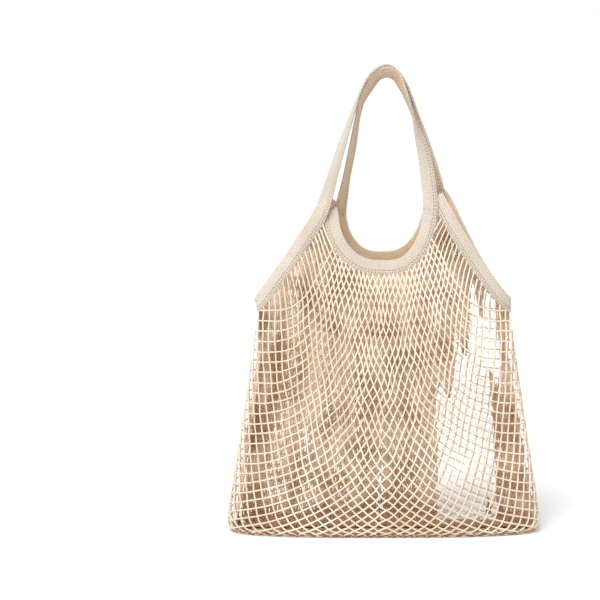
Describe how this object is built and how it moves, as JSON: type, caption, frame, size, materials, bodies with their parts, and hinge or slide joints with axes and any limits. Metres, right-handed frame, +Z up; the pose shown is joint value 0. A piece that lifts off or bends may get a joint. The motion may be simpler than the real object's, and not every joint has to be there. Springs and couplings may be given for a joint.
{
  "type": "string shopping bag",
  "caption": "Natural cotton net shopping bag with a flat base, bound neck and sides, and long twill tape handles that meet at the crown.",
  "frame": {"origin": "middle of the footprint, on the surface that the bag stands on", "axes": "+Z up to the handles' crown, -Y towards the front net, +X towards the right side as seen from the front"},
  "size_m": [0.3752, 0.1107, 0.5585],
  "materials": {
    "net": "matt cotton string",
    "tape": "cotton twill tape"
  },
  "bodies": {
    "root": {"front_net": "net", "back_net": "net", "left_net": "net", "right_net": "net", "base_net": "net", "left_side_tape": "tape", "outer_handle": "tape", "right_side_tape": "tape", "front_neck_tape": "tape", "inner_handle": "tape", "back_neck_tape": "tape"}
  },
  "joints": []
}
